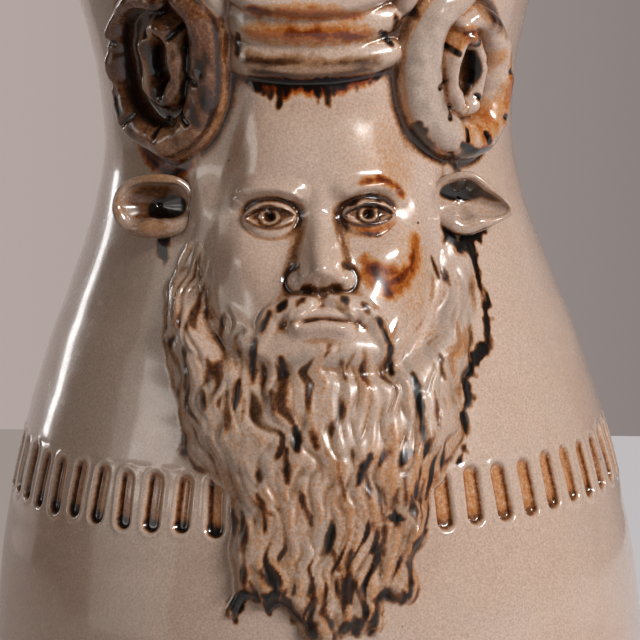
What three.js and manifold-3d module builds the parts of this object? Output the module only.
// A tall stoneware jar with a horned, bearded mask in relief on its front.
// Millimetres, +Z up. The origin is on the table under the jar's own axis, and the mask looks along -Y.
// The vessel is thrown in sections that sit in one another with a tongue and a rabbet.
// The mask is built up on the wall from separate pieces of clay, each cut to lie on what is under it.
import * as THREE from "three";
import { mergeVertices } from "three/addons/utils/BufferGeometryUtils.js";
import Module from "manifold-3d";

const wasm = await Module();
wasm.setup();

// Vessel: outside radii and the heights at which they lie.
const FOOT_RADIUS = 62;
const FOOT_FLARE = 0.55;
const BELLY_RADIUS = 102;
const BELLY_Z = 118;
const SHOULDER_RADIUS = 80.2;
const SHOULDER_ABOVE_BELLY = 118;
const SHOULDER_SLOPE = -0.37;
const WAIST_RADIUS = 62.8;
const WAIST_ABOVE_SHOULDER = 60;
const MOUTH_RADIUS = 84;
const MOUTH_ABOVE_WAIST = 78;
const MOUTH_SLOPE = 0.5;
const WALL = 6.4;
const SHOULDER_Z = BELLY_Z + SHOULDER_ABOVE_BELLY;
const WAIST_Z = SHOULDER_Z + WAIST_ABOVE_SHOULDER;
const JAR_HEIGHT = WAIST_Z + MOUTH_ABOVE_WAIST;

// Foot, floor and rim.
const FOOT_HEIGHT = 8;
const FOOT_RING_WIDTH = 12;
const FOOT_BEVEL = 2;
const FLOOR_THICKNESS = 9;
const FLOOR_COVE = 10;
const RIM_DEPTH = 18;
const RIM_BEAD = 2.6;

// Luted joints between the thrown sections.
const JOINT_BELOW_BELLY = 6;
const JOINT_BELOW_WAIST = 34;
const BELLY_JOINT_Z = BELLY_Z - JOINT_BELOW_BELLY;
const NECK_JOINT_Z = WAIST_Z - JOINT_BELOW_WAIST;
const TONGUE = 4;
const CLEARANCE = 0.3;

// Roundness of the turned pieces.
const SEGMENTS = 48;
const PROFILE_STEP = 15;

// Band of stamped slots round the shoulder, broken where the beard hangs over it.
const SLOT_COUNT = 51;
const SLOT_FIRST_DEG = 23.8;
const SLOT_LAST_DEG = 341.5;
const SLOTS_BELOW_SHOULDER = 39.2;
const SLOT_Z = SHOULDER_Z - SLOTS_BELOW_SHOULDER;
const SLOT_LENGTH = 17.6;
const SLOT_WIDTH = 5.6;
const SLOT_DEPTH = 1.9;
const SLOT_END_STEPS = 3;

// Mask, laid out in thirds from the hairline to the chin. On the wall, x runs round it from the
// mask's own centre line and z is height.
const MASK_OFFSET = 2.5;
const FACE_THIRD = 28;
const FACE_WIDTH = 66;
const HAIRLINE_ABOVE_WAIST = 16.4;
const HAIRLINE_Z = WAIST_Z + HAIRLINE_ABOVE_WAIST;
const BROW_Z = HAIRLINE_Z - FACE_THIRD;
const NOSE_BASE_Z = BROW_Z - FACE_THIRD;
const CHIN_Z = NOSE_BASE_Z - FACE_THIRD;
const CROWN_Z = HAIRLINE_Z + FACE_THIRD / 2;
const EYE_Z = (CROWN_Z + CHIN_Z) / 2;
const MOUTH_Z = NOSE_BASE_Z - FACE_THIRD / 3;
const EYE_WIDTH = FACE_WIDTH / 5;

// Room between a piece and what it lies on, least thickness of a feathered edge, and how far a piece
// is first drawn into what is under it before it is cut to it.
const SEAM = 0.3;
const EDGE = 1;
const BITE = 3;

// Headband: three coils of clay, one on top of the other, that reach from horn to horn. The first
// lies this far above the hairline, and each rises towards its ends.
const BAND_ABOVE_HAIRLINE = 6.2;
const BAND_GROOVE = 0.4;
const BAND_LEFT = -23.9;
const BAND_RIGHT = 22.4;
const BAND_COILS = [
  { name: "headband_lower", width: 9.4, height: 5.4, rise: 2.6 },
  { name: "headband_middle", width: 8.6, height: 5, rise: 3.7 },
  { name: "headband_upper", width: 8.6, height: 7, rise: 5 },
];

// Tufts of hair, each in the corner between the headband's end and the horn.
const TUFT_FROM_BAND = 5.6;
const TUFT_ABOVE_HAIRLINE = 31;
const TUFT_HALF_WIDTH = 3.6;
const TUFT_HEIGHT = 4.6;

// Horns: each a coil that winds down, out and up round itself into a smaller ring.
const HORN_X = 47;
const HORN_ABOVE_HAIRLINE = 4.6;
const HORN_Z = HAIRLINE_Z + HORN_ABOVE_HAIRLINE;
const HORN_START_DEG = 108;
const HORN_TURN_IN_DEG = 325;
const HORN_CLOSED_DEG = 475;
const HORN_END_DEG = 700;
const HORN_OUTER = { across: 15.3, up: 19.4, half: 5.5, height: 7.6 };
const HORN_INNER = { across: 6.6, up: 11, half: 2.9, height: 6.4 };
const HORN_STEPS = 42;

// Ears: cupped leaves that stand off the wall, the left one blunt and the right one pointed.
const EAR_ABOVE_EYE = 3.6;
const EAR_Z = EYE_Z + EAR_ABOVE_EYE;
const EAR_HALF_HEIGHT = 9.6;
const SIDEBURN_BELOW_EAR = 4;
const EAR_THICKNESS = 3.4;
const EAR_CUP = 4.3;
const EAR_ROLL = 1.3;
const EAR_ROOT = 5;
const EARS = {
  left: { side: -1, rootDeg: 31.5, length: 25.5, droop: 1.5, blunt: 1 },
  right: { side: 1, rootDeg: 34, length: 25.5, droop: 5, blunt: 0 },
};

const STONEWARE = { color: 0xc2a58c, roughness: 0.25, metalness: 0 };
const BARE_CLAY = { color: 0x9a7a60, roughness: 0.85, metalness: 0 };
const IRON_GLAZE = { color: 0x8a6238, roughness: 0.2, metalness: 0 };
const DARK_GLAZE = { color: 0x5d4330, roughness: 0.2, metalness: 0 };

const lerp = (a, b, t) => a + (b - a) * t;
const clamp01 = (t) => Math.min(1, Math.max(0, t));
const ease = (t) => clamp01(t) ** 2 * (3 - 2 * clamp01(t));
const hill = (a, wide) => Math.exp(-((a / wide) ** 2));
const mound = (x, z, atX, atZ, wideX, wideZ) => hill(x - atX, wideX) * hill(z - atZ, wideZ);
const arch = (t, power) => Math.max(0, Math.sin(Math.PI * clamp01(t))) ** power;

const WALL_STATIONS = [
  { z: 0, r: FOOT_RADIUS, slope: FOOT_FLARE },
  { z: BELLY_Z, r: BELLY_RADIUS, slope: 0 },
  { z: SHOULDER_Z, r: SHOULDER_RADIUS, slope: SHOULDER_SLOPE },
  { z: WAIST_Z, r: WAIST_RADIUS, slope: 0 },
  { z: JAR_HEIGHT, r: MOUTH_RADIUS, slope: MOUTH_SLOPE },
];

// The outside radius of the bare wall at a height: a smooth curve through the stations.
function wallRadius(z) {
  const next = Math.max(1, WALL_STATIONS.findIndex((s) => s.z >= z));
  const [a, b] = [WALL_STATIONS[next - 1], WALL_STATIONS[next]];
  const h = b.z - a.z;
  const t = (z - a.z) / h;
  const bend = (1 - t) * (1 - t) * t * h * a.slope - t * t * (1 - t) * h * b.slope;
  return lerp(a.r, b.r, t * t * (3 - 2 * t)) + bend;
}

// The wall's outward normal at a height, as its share along the radius and up.
function wallNormal(z) {
  const slope = wallRadius(z + 0.5) - wallRadius(z - 0.5);
  const length = Math.hypot(1, slope);
  return { out: 1 / length, up: -slope / length };
}

// A point that stands lift off the wall, x round it from the mask's centre line.
function onWall(x, z, lift) {
  const angle = (x + MASK_OFFSET) / wallRadius(z);
  const normal = wallNormal(z);
  const r = wallRadius(z) + lift * normal.out;
  return new THREE.Vector3(r * Math.sin(angle), -r * Math.cos(angle), z + lift * normal.up);
}

// A boolean solid from a closed geometry, and back.
function solidOf(geometry) {
  const bare = geometry.clone();
  bare.deleteAttribute("normal");
  bare.deleteAttribute("uv");
  const merged = mergeVertices(bare, 1e-4);
  const made = new wasm.Mesh({
    numProp: 3,
    vertProperties: merged.attributes.position.array,
    triVerts: new Uint32Array(merged.index.array),
  });
  return new wasm.Manifold(made);
}

function geometryFrom(solid) {
  const mesh = solid.getMesh();
  const made = new THREE.BufferGeometry();
  made.setAttribute("position", new THREE.BufferAttribute(new Float32Array(mesh.vertProperties), 3));
  made.setIndex(new THREE.BufferAttribute(new Uint32Array(mesh.triVerts), 1));
  return made;
}

// Turns every face outwards, and drops faces that have no area.
function closed(points, faces) {
  const kept = [];
  let volume = 0;
  for (let i = 0; i < faces.length; i += 3) {
    const [a, b, c] = [faces[i], faces[i + 1], faces[i + 2]];
    if (a === b || b === c || a === c) continue;
    kept.push([a, b, c]);
    volume += points[a].dot(points[b].clone().cross(points[c]));
  }
  const made = new THREE.BufferGeometry().setFromPoints(points);
  made.setIndex(kept.flatMap(([a, b, c]) => (volume < 0 ? [a, c, b] : [a, b, c])));
  return made;
}

// A closed solid between a top and a bottom grid of points, whose borders it joins.
function slabBetween(top, bottom) {
  const rows = top.length;
  const cols = top[0].length;
  const at = (i, j, low) => (low ? rows * cols : 0) + i * cols + j;
  const faces = [];
  const quad = (a, b, c, d) => faces.push(a, b, c, a, c, d);
  for (let i = 0; i + 1 < rows; i++) {
    for (let j = 0; j + 1 < cols; j++) {
      quad(at(i, j, 0), at(i, j + 1, 0), at(i + 1, j + 1, 0), at(i + 1, j, 0));
      quad(at(i, j, 1), at(i + 1, j, 1), at(i + 1, j + 1, 1), at(i, j + 1, 1));
    }
    quad(at(i, 0, 1), at(i, 0, 0), at(i + 1, 0, 0), at(i + 1, 0, 1));
    quad(at(i, cols - 1, 0), at(i, cols - 1, 1), at(i + 1, cols - 1, 1), at(i + 1, cols - 1, 0));
  }
  for (let j = 0; j + 1 < cols; j++) {
    quad(at(0, j, 0), at(0, j, 1), at(0, j + 1, 1), at(0, j + 1, 0));
    quad(at(rows - 1, j, 1), at(rows - 1, j, 0), at(rows - 1, j + 1, 0), at(rows - 1, j + 1, 1));
  }
  return closed([...top.flat(), ...bottom.flat()], faces);
}

// A closed solid over a round outline: rings of points about a middle one, on top and below.
function padBetween(top, bottom) {
  const spokes = top[0].length;
  const rings = top.length - 1;
  const layer = 1 + rings * spokes;
  const at = (ring, spoke, low) =>
    (low ? layer : 0) + (ring === 0 ? 0 : 1 + (ring - 1) * spokes + (spoke % spokes));
  const faces = [];
  for (let s = 0; s < spokes; s++) {
    for (let k = 0; k < rings; k++) {
      const [a, b, c, d] = [at(k, s, 0), at(k + 1, s, 0), at(k + 1, s + 1, 0), at(k, s + 1, 0)];
      faces.push(a, b, c, a, c, d);
      const [e, f, g, h] = [at(k, s, 1), at(k + 1, s, 1), at(k + 1, s + 1, 1), at(k, s + 1, 1)];
      faces.push(e, g, f, e, h, g);
    }
    const [p, q] = [at(rings, s, 0), at(rings, s + 1, 0)];
    const [r, t] = [at(rings, s, 1), at(rings, s + 1, 1)];
    faces.push(p, r, t, p, t, q);
  }
  const points = [top[0][0], ...top.slice(1).flat(), bottom[0][0], ...bottom.slice(1).flat()];
  return closed(points, faces);
}

// A piece turned about the jar's axis from a closed outline of [radius, height].
function turned(outline) {
  const profile = [...outline, outline[0]].map(([r, z]) => new THREE.Vector2(r, z));
  const made = new THREE.LatheGeometry(profile, SEGMENTS).rotateX(Math.PI / 2);
  made.deleteAttribute("normal");
  made.deleteAttribute("uv");
  const merged = mergeVertices(made, 1e-4);
  const p = merged.attributes.position;
  const points = Array.from({ length: p.count }, (_, i) => new THREE.Vector3().fromBufferAttribute(p, i));
  return closed(points, [...merged.index.array]);
}

// Heights from one to another in even steps, ends included.
function heights(from, to) {
  const count = Math.max(1, Math.round(Math.abs(to - from) / PROFILE_STEP));
  return Array.from({ length: count + 1 }, (_, i) => lerp(from, to, i / count));
}

// One ring of wall. Its top may carry a tongue, and its bottom a rabbet that sits over the tongue below.
function wallRing(bottom, top, hasRabbet, hasTongue) {
  const inner = (z) => wallRadius(z) - WALL;
  const middle = (z) => wallRadius(z) - WALL / 2;
  const innerTop = hasTongue ? top + TONGUE : top;
  const innerBottom = hasRabbet ? bottom + TONGUE + CLEARANCE : bottom;
  const outline = heights(bottom, top).map((z) => [wallRadius(z), z]);
  if (hasTongue) outline.push([middle(top), top], [middle(top), innerTop]);
  outline.push(...heights(innerTop, innerBottom).map((z) => [inner(z), z]));
  const stepRadius = middle(bottom) + CLEARANCE;
  if (hasRabbet) outline.push([stepRadius, innerBottom], [stepRadius, bottom]);
  return outline;
}

function footRing() {
  const inside = FOOT_RADIUS - FOOT_RING_WIDTH;
  return turned([
    [FOOT_RADIUS - FOOT_BEVEL, 0],
    [wallRadius(FOOT_BEVEL), FOOT_BEVEL],
    [wallRadius(FOOT_HEIGHT), FOOT_HEIGHT],
    [inside + FOOT_BEVEL, FOOT_HEIGHT],
    [inside, 0],
  ]);
}

// The lower wall with the jar's floor, which meets the wall in a cove.
function baseSection() {
  const inner = (z) => wallRadius(z) - WALL;
  const floorTop = FOOT_HEIGHT + FLOOR_THICKNESS;
  const coveTop = floorTop + FLOOR_COVE;
  const middle = wallRadius(BELLY_JOINT_Z) - WALL / 2;
  const top = BELLY_JOINT_Z + TONGUE;
  return turned([
    [0, FOOT_HEIGHT],
    ...heights(FOOT_HEIGHT, BELLY_JOINT_Z).map((z) => [wallRadius(z), z]),
    [middle, BELLY_JOINT_Z],
    [middle, top],
    ...heights(top, coveTop).map((z) => [inner(z), z]),
    [inner(coveTop) - 0.3 * FLOOR_COVE, floorTop + 0.3 * FLOOR_COVE],
    [inner(coveTop) - FLOOR_COVE, floorTop],
    [0, floorTop],
  ]);
}

// One stamped slot as a solid that reaches through the wall's face, long way up the wall.
function slotCutter(angleDeg) {
  const half = SLOT_WIDTH / 2;
  const straight = SLOT_LENGTH / 2 - half;
  const outline = [];
  for (const end of [1, -1]) {
    for (let i = 0; i <= SLOT_END_STEPS; i++) {
      const turn = (Math.PI * i) / SLOT_END_STEPS;
      outline.push(new THREE.Vector2(half * Math.cos(turn) * end, end * (straight + half * Math.sin(turn))));
    }
  }
  const reach = SLOT_DEPTH * 2;
  const made = new THREE.ExtrudeGeometry(new THREE.Shape(outline), { depth: reach, bevelEnabled: false });
  const normal = wallNormal(SLOT_Z);
  made.rotateX(Math.PI / 2 - Math.atan2(normal.up, normal.out));
  const r = wallRadius(SLOT_Z) - SLOT_DEPTH * normal.out;
  made.translate(0, -r, SLOT_Z - SLOT_DEPTH * normal.up);
  made.rotateZ(THREE.MathUtils.degToRad(angleDeg));
  return solidOf(made);
}

function shoulderSection() {
  const cutters = Array.from({ length: SLOT_COUNT }, (_, i) =>
    slotCutter(lerp(SLOT_FIRST_DEG, SLOT_LAST_DEG, i / (SLOT_COUNT - 1))),
  );
  const ring = solidOf(turned(wallRing(BELLY_JOINT_Z, NECK_JOINT_Z, true, true)));
  return geometryFrom(ring.subtract(wasm.Manifold.union(cutters)));
}

function neckSection() {
  return turned(wallRing(NECK_JOINT_Z, JAR_HEIGHT - RIM_DEPTH, true, true));
}

// The rim's outline up its outer side, from the joint to the lip.
function rimOutside() {
  const bottom = JAR_HEIGHT - RIM_DEPTH;
  const crown = JAR_HEIGHT - WALL / 2;
  const outside = MOUTH_RADIUS + RIM_BEAD;
  return [
    [wallRadius(bottom), bottom],
    [wallRadius(bottom + RIM_DEPTH / 3), bottom + RIM_DEPTH / 3],
    [outside - RIM_BEAD / 3, crown - WALL],
    [outside, crown - WALL / 4],
    [outside - RIM_BEAD / 2, crown + WALL / 4],
  ];
}

function rim() {
  const bottom = JAR_HEIGHT - RIM_DEPTH;
  const stepTop = bottom + TONGUE + CLEARANCE;
  const stepRadius = wallRadius(bottom) - WALL / 2 + CLEARANCE;
  const crown = JAR_HEIGHT - WALL / 2;
  const outside = MOUTH_RADIUS + RIM_BEAD;
  const inside = wallRadius(crown) - WALL;
  return turned([
    ...rimOutside(),
    [(outside + inside) / 2, JAR_HEIGHT],
    [inside + RIM_BEAD / 2, crown + WALL / 4],
    [inside, crown - WALL / 4],
    [wallRadius(stepTop) - WALL, stepTop],
    [stepRadius, stepTop],
    [stepRadius, bottom],
  ]);
}

// Relief. Each height is taken off the bare wall.

const CHEEK_Z = NOSE_BASE_Z + 4;
const faceHalfWidth = (z) => 25.5 + 12 * hill(z - CHEEK_Z, 30);

// The slab of clay that the features sit on: forehead, sockets, cheekbones and the swell of the mouth.
function faceHeight(x, z) {
  const across = Math.abs(x) / faceHalfWidth(z);
  const chinFall = ease((z - CHIN_Z + 6) / 16);
  const sideFall = ease((1.04 - across) / 0.42);
  const slab = lerp(8.2, 4.4, ease((z - BROW_Z) / FACE_THIRD)) * (1 - 0.35 * across * across);
  const socket = 3.2 * mound(Math.abs(x), z, EYE_WIDTH, EYE_Z, 8, 5.6);
  const cheekbone = 2 * mound(Math.abs(x), z, 19.5, NOSE_BASE_Z + 8, 8.5, 8);
  const muzzle = 2.6 * mound(x, z, 0, MOUTH_Z, 14, 9.5);
  return chinFall * sideFall * (slab - socket + cheekbone + muzzle);
}

// The nose stands on the slab: a ridge that grows downwards, and two wings.
function noseRise(x, z) {
  const ridge = 11.5 * ease((EYE_Z + 3 - z) / 19) * ease((z - NOSE_BASE_Z + 2.6) / 5);
  const width = 3.2 + 2 * ease((EYE_Z - z) / 16);
  const wings = 3.4 * mound(Math.abs(x), z, 5.4, NOSE_BASE_Z + 2.4, 2.4, 3);
  return ridge * hill(x, width) + wings;
}

// The middle height of a coil of the band, which lies on the coils before it.
function bandZ(coilIndex, x) {
  const { width, rise } = BAND_COILS[coilIndex];
  const below = BAND_COILS.slice(0, coilIndex).reduce((sum, one) => sum + one.width + BAND_GROOVE, 0);
  const middle = (BAND_LEFT + BAND_RIGHT) / 2;
  const share = (x - middle) / (BAND_RIGHT - middle);
  return HAIRLINE_Z + BAND_ABOVE_HAIRLINE + below + width / 2 + rise * share * share;
}

const onBareWall = () => 0;

// A pad over an outline of [x, z] points, lift thick above base. Grown, it is the room such a pad takes.
function pad(outline, centre, rings, spokes, base, lift, grow = 0) {
  const edge = new THREE.CatmullRomCurve3(
    outline.map(([x, z]) => new THREE.Vector3(x, z, 0)),
    true,
  );
  const spots = edge.getPoints(spokes).slice(0, spokes);
  const [top, bottom] = [[], []];
  for (let k = 0; k <= rings; k++) {
    const share = k / rings;
    const [upper, lower] = [[], []];
    for (const spot of spots) {
      const out = new THREE.Vector2(spot.x - centre[0], spot.y - centre[1]);
      out.multiplyScalar(share * (1 + grow / out.length()));
      const [x, z] = [centre[0] + out.x, centre[1] + out.y];
      lower.push(onWall(x, z, base(x, z) - BITE));
      upper.push(onWall(x, z, base(x, z) + lift(x, z, share) + grow));
    }
    top.push(upper);
    bottom.push(lower);
  }
  return padBetween(top, bottom);
}

const mirrored = (half) => [...half, ...half.slice(1, -1).reverse().map(([x, z]) => [-x, z])];

// A coil of clay along a centre line, rounded above. The line is a function of t that gives [x, z].
function coil(line, steps, halfWidth, height, base, sides) {
  const [top, bottom] = [[], []];
  for (let i = 0; i <= steps; i++) {
    const t = i / steps;
    const [x0, z0] = line(t);
    const [ax, az] = line(t - 0.004);
    const [bx, bz] = line(t + 0.004);
    const length = Math.hypot(bx - ax, bz - az);
    const [sideX, sideZ] = [(az - bz) / length, (bx - ax) / length];
    const [upper, lower] = [[], []];
    for (let j = 0; j <= sides; j++) {
      const turn = (Math.PI * j) / sides;
      const off = halfWidth(t) * Math.cos(turn);
      const [x, z] = [x0 + sideX * off, z0 + sideZ * off];
      lower.push(onWall(x, z, base(x, z) - BITE));
      upper.push(onWall(x, z, base(x, z) + EDGE + height(t) * arch(j / sides, 0.75)));
    }
    top.push(upper);
    bottom.push(lower);
  }
  return slabBetween(top, bottom);
}

// A centre line through [x, z] points, which runs straight on past its ends.
function lineThrough(spots) {
  const curve = new THREE.CatmullRomCurve3(spots.map(([x, z]) => new THREE.Vector3(x, z, 0)));
  return (t) => {
    const p = curve.getPoint(clamp01(t));
    const past = t - clamp01(t);
    const along = curve.getTangent(clamp01(t)).multiplyScalar(past * curve.getLength());
    return [p.x + along.x, p.y + along.y];
  };
}

// Cuts a piece to what is round it and keeps its biggest body.
function bedded(geometry, ...rooms) {
  const cut = rooms.reduce((solid, room) => solid.subtract(room), solidOf(geometry));
  const bodies = cut.decompose().sort((a, b) => b.volume() - a.volume());
  return geometryFrom(bodies[0]);
}

// The room the wall takes, with a seam round it. It has the same facets as the wall's own sections.
function wallRoom() {
  const stations = [
    ...heights(BELLY_JOINT_Z, NECK_JOINT_Z),
    ...heights(NECK_JOINT_Z, JAR_HEIGHT - RIM_DEPTH).slice(1),
  ].filter((z) => z > BELLY_JOINT_Z + PROFILE_STEP);
  const lip = rimOutside();
  const outside = [...stations.map((z) => [wallRadius(z), z]), ...lip.slice(1)];
  const grown = outside.map(([r, z]) => [r + SEAM, z]);
  return turned([[0, stations[0]], ...grown, [0, lip[lip.length - 1][1]]]);
}

// The pad's top runs along under the headband.
const underBand = (x) => bandZ(0, x) - BAND_COILS[0].width / 2 - SEAM;
const FACE_OUTLINE = mirrored([
  [0, underBand(0)],
  [10, underBand(10)],
  [18.6, underBand(18.6)],
  [21.6, HAIRLINE_Z - 4],
  [25.4, HAIRLINE_Z - 17],
  [28.6, EYE_Z + 8],
  [30, EYE_Z - 2],
  [34.4, NOSE_BASE_Z + 11],
  [36, NOSE_BASE_Z],
  [32, MOUTH_Z - 5],
  [19, CHIN_Z + 3],
  [0, CHIN_Z - 1],
]);

function facePad(grow = 0) {
  const lift = (x, z, share) => Math.max(EDGE, faceHeight(x, z) * (share < 1 ? 1 : 0.85));
  return pad(FACE_OUTLINE, [0, EYE_Z - 8], 9, 40, onBareWall, lift, grow);
}

function nose() {
  const outline = mirrored([
    [0, EYE_Z + 2],
    [3.4, EYE_Z - 3],
    [4.6, EYE_Z - 9],
    [8.2, NOSE_BASE_Z + 4.2],
    [7.8, NOSE_BASE_Z - 0.4],
    [4, NOSE_BASE_Z - 1.6],
    [0, NOSE_BASE_Z - 2],
  ]);
  const lift = (x, z, share) => noseRise(x, z) * (1 - share ** 5) + EDGE;
  return pad(outline, [0, NOSE_BASE_Z + 6], 5, 22, faceHeight, lift);
}

function brow(side) {
  const line = lineThrough([
    [side * 5, BROW_Z - 1.2],
    [side * 11, BROW_Z + 1.6],
    [side * 17.5, BROW_Z + 1],
    [side * 23.4, BROW_Z - 4],
  ]);
  const size = (t) => 0.25 + 0.75 * arch(t, 0.7);
  return coil(line, 10, (t) => 2.7 * size(t), (t) => 2.2 * size(t), faceHeight, 4);
}

function eye(side) {
  const at = side * EYE_WIDTH;
  const half = EYE_WIDTH / 2 - 0.8;
  const outline = [
    [at - half, EYE_Z - 0.4],
    [at - half / 2, EYE_Z + 2.9],
    [at + half / 2, EYE_Z + 2.9],
    [at + half, EYE_Z - 0.4],
    [at + half / 2, EYE_Z - 3],
    [at - half / 2, EYE_Z - 3],
  ];
  const lift = (x, z, share) => EDGE + 2.4 * (1 - share * share);
  return pad(outline, [at, EYE_Z], 4, 16, faceHeight, lift);
}

function moustache(side) {
  const line = lineThrough([
    [side * 1.9, MOUTH_Z + 5.2],
    [side * 7, MOUTH_Z + 4.4],
    [side * 13, MOUTH_Z + 0.8],
    [side * 17.5, MOUTH_Z - 5.4],
  ]);
  const size = (t) => 0.35 + 0.65 * arch(0.1 + 0.85 * t, 0.8);
  return coil(line, 12, (t) => 2.5 * size(t), (t) => 3 * size(t), faceHeight, 4);
}

function lowerLip() {
  const line = lineThrough([
    [-8, MOUTH_Z - 1],
    [-4, MOUTH_Z - 2.8],
    [4, MOUTH_Z - 2.8],
    [8, MOUTH_Z - 1],
  ]);
  const size = (t) => 0.3 + 0.7 * arch(t, 0.8);
  return coil(line, 10, (t) => 2 * size(t), (t) => 2 * size(t), faceHeight, 4);
}

// The beard hangs from the cheeks and the chin. Both its edges run from the left cheek to the right one,
// with heights taken from the chin.
const BEARD_TOP = 22.6;
const BEARD_DROP = 72.9;
const BEARD_OUTER = [
  [-48, BEARD_TOP],
  [-45.5, 1.6],
  [-38.5, -22.4],
  [-30, -36.4],
  [-28, -48.4],
  [-26, -60.4],
  [-12, -65.4],
  [0.5, -BEARD_DROP],
  [13.5, -68.4],
  [26, -61.4],
  [31.5, -46.4],
  [36, -28.4],
  [45.5, -15.4],
  [53, 2.6],
  [54.5, BEARD_TOP],
];
const BEARD_INNER = [
  [-35.6, BEARD_TOP],
  [-31, 19],
  [-23.5, 12],
  [-13, 9.2],
  [0, 12.2],
  [13, 9.2],
  [23.5, 12],
  [31, 19],
  [35.6, BEARD_TOP],
];
const BEARD_COLUMNS = 42;
const BEARD_ROWS = 9;
const BEARD_LOCKS = 12;

function beard() {
  const fromChin = (spots) => lineThrough(spots.map(([x, up]) => [x, CHIN_Z + up]));
  const [inner, outer] = [fromChin(BEARD_INNER), fromChin(BEARD_OUTER)];
  const [top, bottom] = [[], []];
  for (let i = 0; i <= BEARD_COLUMNS; i++) {
    const share = i / BEARD_COLUMNS;
    const [a, b] = [inner(share), outer(share)];
    const [upper, lower] = [[], []];
    for (let j = 0; j <= BEARD_ROWS; j++) {
      const t = j / BEARD_ROWS;
      const [x, z] = [lerp(a[0], b[0], t), lerp(a[1], b[1], t)];
      const sides = Math.min(ease(share / 0.05), ease((1 - share) / 0.05));
      const edge = Math.min(ease((t + 0.05) / 0.2), ease((1 - t) / 0.2), sides);
      const lock = 0.9 * Math.cos(share * BEARD_LOCKS * 2 * Math.PI + 2.4 * t) * (0.4 + 0.6 * t);
      const full = lerp(4.2, 8.6, ease((z - CHIN_Z) / BEARD_DROP + 1)) + lock;
      const under = faceHeight(x, z);
      lower.push(onWall(x, z, -BITE));
      upper.push(onWall(x, z, lerp(under + EDGE, Math.max(full, under + 2.4), edge)));
    }
    top.push(upper);
    bottom.push(lower);
  }
  return slabBetween(top, bottom);
}

// A lock of beard in front of the ear, down to the beard's upper end.
function sideburn(side) {
  const lean = side < 0 ? -2 : 2.6;
  const line = lineThrough([
    [side * 37.5 + lean * 0.5, EAR_Z - EAR_HALF_HEIGHT - SIDEBURN_BELOW_EAR],
    [side * 40 + lean, EYE_Z - 17],
    [side * 41.5 + lean, CHIN_Z + BEARD_TOP + 1.4],
  ]);
  return coil(line, 6, (t) => lerp(2.6, 4.8, t), (t) => lerp(2, 3.6, t), onBareWall, 5);
}

function headbandCoil({ width, height }, coilIndex) {
  const line = (t) => {
    const x = lerp(BAND_LEFT, BAND_RIGHT, t);
    return [x, bandZ(coilIndex, x)];
  };
  const half = (t) => (width / 2) * (0.84 + 0.15 * arch(t, 0.5));
  const tall = (t) => height * Math.max(0.45, arch(t, 0.2));
  return coil(line, 14, half, tall, onBareWall, 6);
}

function hairTuft(side) {
  const z = HAIRLINE_Z + TUFT_ABOVE_HAIRLINE;
  const x = (side < 0 ? BAND_LEFT : BAND_RIGHT) + side * TUFT_FROM_BAND;
  const line = lineThrough([
    [x - side * 1.4, z - 4],
    [x + side * 0.4, z + 1],
    [x + side * 3.4, z + 6.6],
  ]);
  const size = (t) => 0.4 + 0.6 * arch(t, 0.7);
  return coil(line, 7, (t) => TUFT_HALF_WIDTH * size(t), (t) => TUFT_HEIGHT * size(t), onBareWall, 4);
}

// The horn is one coil that touches itself, so it is drawn in two overlapping lengths and joined.
function horn(side) {
  const part = (fromDeg, toDeg) => {
    const sizeAt = (t, key) => {
      const deg = lerp(fromDeg, toDeg, t);
      const closing = ease((deg - HORN_TURN_IN_DEG) / (HORN_CLOSED_DEG - HORN_TURN_IN_DEG));
      return lerp(HORN_OUTER[key], HORN_INNER[key], closing);
    };
    const line = (t) => {
      const turn = THREE.MathUtils.degToRad(lerp(fromDeg, toDeg, t));
      const across = sizeAt(t, "across") * Math.cos(turn);
      return [side * (HORN_X + across), HORN_Z + sizeAt(t, "up") * Math.sin(turn)];
    };
    const [half, height] = [(t) => sizeAt(t, "half"), (t) => sizeAt(t, "height")];
    return solidOf(coil(line, HORN_STEPS / 2, half, height, onBareWall, 5));
  };
  const middle = (HORN_START_DEG + HORN_END_DEG) / 2;
  return geometryFrom(part(HORN_START_DEG, middle + 8).add(part(middle - 8, HORN_END_DEG)));
}

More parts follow.
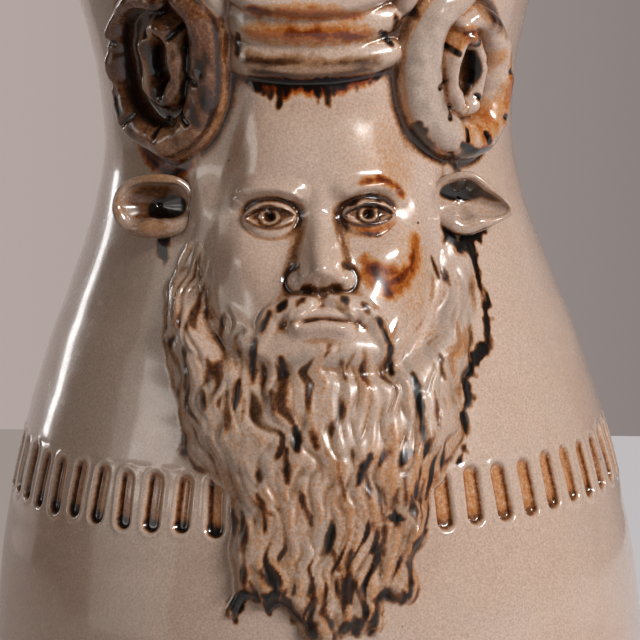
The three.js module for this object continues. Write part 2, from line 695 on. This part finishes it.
// An ear as a cupped leaf in its own plane. Its root is later cut to the wall.
function ear({ side, rootDeg, length, droop, blunt }) {
  const half = [
    [0, 0.6],
    [0.2, 0.92],
    [0.45, 1],
    [0.72, lerp(0.66, 0.92, blunt)],
    [0.92, lerp(0.28, 0.6, blunt)],
    [1, 0],
  ];
  const outline = [...half, ...half.slice(0, -1).reverse().map(([p, q]) => [p, -q])];
  const angle = THREE.MathUtils.degToRad(rootDeg) * side;
  const r = wallRadius(EAR_Z) - 1;
  const root = new THREE.Vector3(r * Math.sin(angle), -r * Math.cos(angle), EAR_Z);
  const along = new THREE.Vector3(side * 0.96, 0.2, -droop / length).normalize();
  const facing = new THREE.Vector3(side * 0.1, -0.9, 0.1);
  facing.addScaledVector(along, -facing.dot(along)).normalize();
  const upward = new THREE.Vector3().crossVectors(along, facing).multiplyScalar(-side);
  const place = (p, q, f) =>
    root
      .clone()
      .addScaledVector(along, p * length)
      .addScaledVector(upward, q * EAR_HALF_HEIGHT)
      .addScaledVector(facing, f);
  const edge = new THREE.CatmullRomCurve3(
    outline.map(([p, q]) => new THREE.Vector3(p, q, 0)),
    true,
  );
  const [spokes, rings] = [20, 5];
  const spots = edge.getPoints(spokes).slice(0, spokes);
  const [top, bottom] = [[], []];
  for (let k = 0; k <= rings; k++) {
    const share = k / rings;
    const [front, behind] = [[], []];
    for (const spot of spots) {
      const [p, q] = [lerp(0.46, spot.x, share), spot.y * share];
      const roll = EAR_ROLL * hill(share - 0.8, 0.22) * (1 - 0.5 * q);
      const cup = EAR_THICKNESS - EAR_CUP * (1 - share ** 2.4) + roll;
      front.push(place(p, q, cup));
      const thick = lerp(EAR_THICKNESS, EAR_THICKNESS * 0.55, share) + EAR_ROOT * ease((0.4 - p) / 0.3);
      behind.push(place(p, q, cup - roll - thick));
    }
    top.push(front);
    bottom.push(behind);
  }
  return padBetween(top, bottom);
}

const jar = new THREE.Group();

function add(name, geometry, look) {
  const mesh = new THREE.Mesh(geometry, new THREE.MeshStandardMaterial(look));
  mesh.name = name;
  jar.add(mesh);
}

const wall = solidOf(wallRoom());
const face = solidOf(facePad(SEAM));

add("foot_ring", footRing(), BARE_CLAY);
add("base_section", baseSection(), STONEWARE);
add("shoulder_section", shoulderSection(), STONEWARE);
add("neck_section", neckSection(), STONEWARE);
add("rim", rim(), STONEWARE);
add("face_pad", bedded(facePad(), wall), STONEWARE);
add("nose", bedded(nose(), face), STONEWARE);
add("lower_lip", bedded(lowerLip(), face), STONEWARE);
add("beard", bedded(beard(), wall, face), IRON_GLAZE);
BAND_COILS.forEach((band, i) => add(band.name, bedded(headbandCoil(band, i), wall, face), IRON_GLAZE));
for (const [hand, spec] of Object.entries(EARS)) {
  const { side } = spec;
  add(`brow_${hand}`, bedded(brow(side), face), IRON_GLAZE);
  add(`eye_${hand}`, bedded(eye(side), face), DARK_GLAZE);
  add(`moustache_${hand}`, bedded(moustache(side), face), IRON_GLAZE);
  add(`sideburn_${hand}`, bedded(sideburn(side), wall, face), IRON_GLAZE);
  add(`hair_tuft_${hand}`, bedded(hairTuft(side), wall), IRON_GLAZE);
  add(`horn_${hand}`, bedded(horn(side), wall, face), DARK_GLAZE);
  add(`ear_${hand}`, bedded(ear(spec), wall, face), STONEWARE);
}

export default jar;
